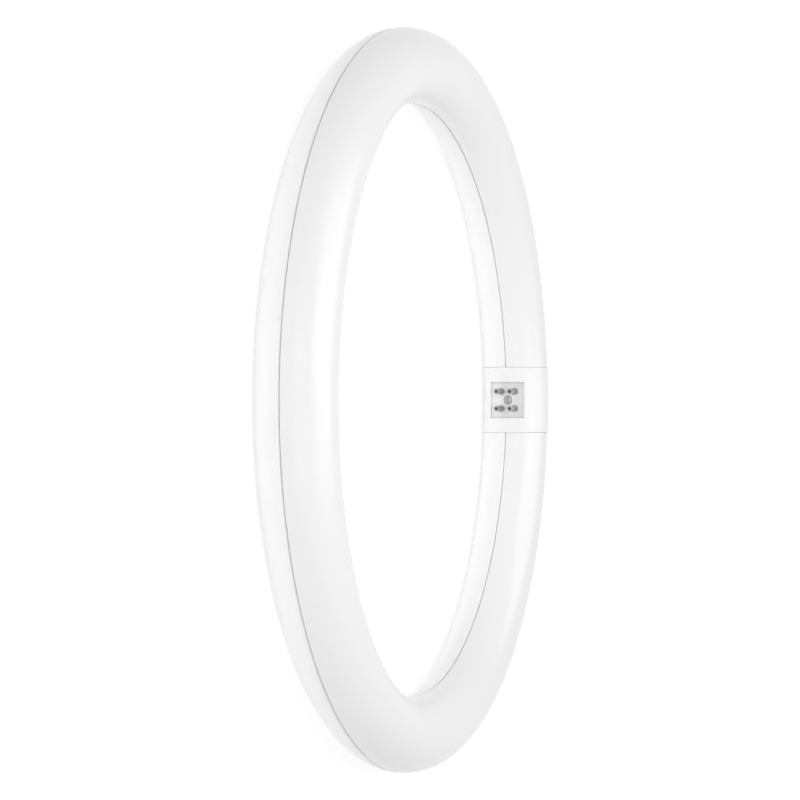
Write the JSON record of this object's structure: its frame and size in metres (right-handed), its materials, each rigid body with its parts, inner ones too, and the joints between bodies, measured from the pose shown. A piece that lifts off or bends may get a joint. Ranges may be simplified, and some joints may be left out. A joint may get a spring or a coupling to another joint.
{
  "type": "circular led tube",
  "caption": "Ring-shaped LED tube: opal front half on a white rear half, closed by a cap whose contact pins point to the ring's centre and plug into a lamp holder.",
  "frame": {"origin": "centre of the ring, in the parting plane of the two casing halves", "axes": "+Z along the ring's axis, out of the opal side that gives the light; +X from the ring's centre through the cap; the ring lies on its white rear half"},
  "size_m": [0.3003, 0.3, 0.0306],
  "materials": {
    "opal_diffuser": "opal, satin",
    "white_housing": "moulded, satin",
    "white_cap": "moulded, satin",
    "grey_plate": "moulded, fine grain",
    "pin_metal": "nickel plated brass",
    "screw_steel": "zinc plated",
    "dull_solder": "dull, oxidised",
    "white_board": "white solder mask on aluminium",
    "led_package": "phosphor",
    "tinned_copper": "tinned",
    "circuit_board": "green solder mask",
    "black_epoxy": "moulded",
    "capacitor_sleeve": "shrunk sleeve",
    "film_box": "moulded",
    "ferrite": "ground",
    "resistor_coat": "lacquered",
    "varistor_coat": "lacquered",
    "lead_sleeve": "insulation"
  },
  "bodies": {
    "root": {"front_diffuser": "opal_diffuser", "rear_housing": "white_housing", "led_board_1": "white_board", "led_board_2": "white_board", "led_board_3": "white_board", "led_chips_1": "led_package", "led_chips_2": "led_package", "led_chips_3": "led_package", "board_link_1": "tinned_copper", "board_link_2": "tinned_copper", "driver_board": "circuit_board", "fuse_resistor": "resistor_coat", "varistor": "varistor_coat", "film_capacitor": "film_box", "emi_choke": "ferrite", "bridge_rectifier": "black_epoxy", "driver_chip": "black_epoxy", "power_inductor": "ferrite", "output_diode": "black_epoxy", "filter_capacitor": "capacitor_sleeve", "bulk_capacitor": "capacitor_sleeve", "output_header": "black_epoxy", "header_pins": "tinned_copper", "cap_inner_half": "white_cap", "cap_outer_half": "white_cap", "pin_plate": "grey_plate", "contact_pin_1": "pin_metal", "contact_pin_2": "pin_metal", "contact_pin_3": "pin_metal", "contact_pin_4": "pin_metal", "lead_wire_1": "lead_sleeve", "lead_wire_2": "lead_sleeve", "lead_wire_3": "lead_sleeve", "lead_wire_4": "lead_sleeve", "pin_solder": "dull_solder", "cap_screw": "screw_steel"}
  },
  "joints": []
}
